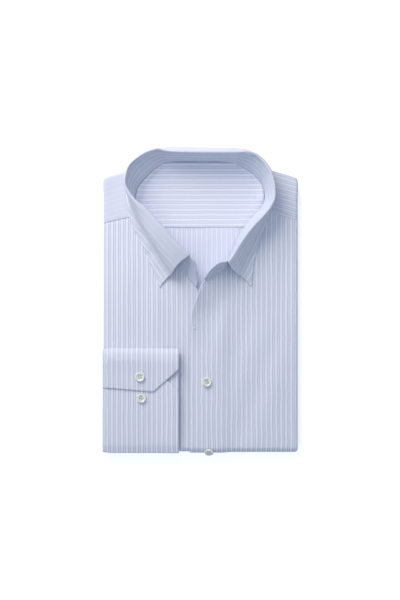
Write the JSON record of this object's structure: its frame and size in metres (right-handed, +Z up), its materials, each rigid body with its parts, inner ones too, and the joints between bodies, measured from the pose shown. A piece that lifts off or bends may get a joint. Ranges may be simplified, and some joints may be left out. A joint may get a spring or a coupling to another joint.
{
  "type": "folded shirt",
  "caption": "Striped dress shirt folded flat for a shelf, collar open and standing, one buttoned front over the other, a cuff laid across the lower front.",
  "frame": {"origin": "middle of the whole shirt across and along, at the surface it lies on", "axes": "+Z up from the surface, +Y along the shirt from the bottom fold to the collar, +X across it to the wearer's left side"},
  "size_m": [0.2349, 0.3694, 0.0415],
  "materials": {
    "shirt_cloth": "light blue cotton poplin with fine stripes",
    "collar_cloth": "the same striped cotton, fused and pressed smooth",
    "button_pearl": "off-white pearl"
  },
  "bodies": {
    "root": {"folded_core": "shirt_cloth", "back_panel": "shirt_cloth", "yoke_inner": "shirt_cloth", "yoke_outer": "shirt_cloth", "front_right": "shirt_cloth", "front_left": "shirt_cloth", "collar_stand": "collar_cloth", "collar_leaf": "collar_cloth", "cuff": "collar_cloth", "sleeve": "shirt_cloth", "button_front": "button_pearl", "button_hem": "button_pearl", "button_cuff_outer": "button_pearl", "button_cuff_inner": "button_pearl"}
  },
  "joints": []
}
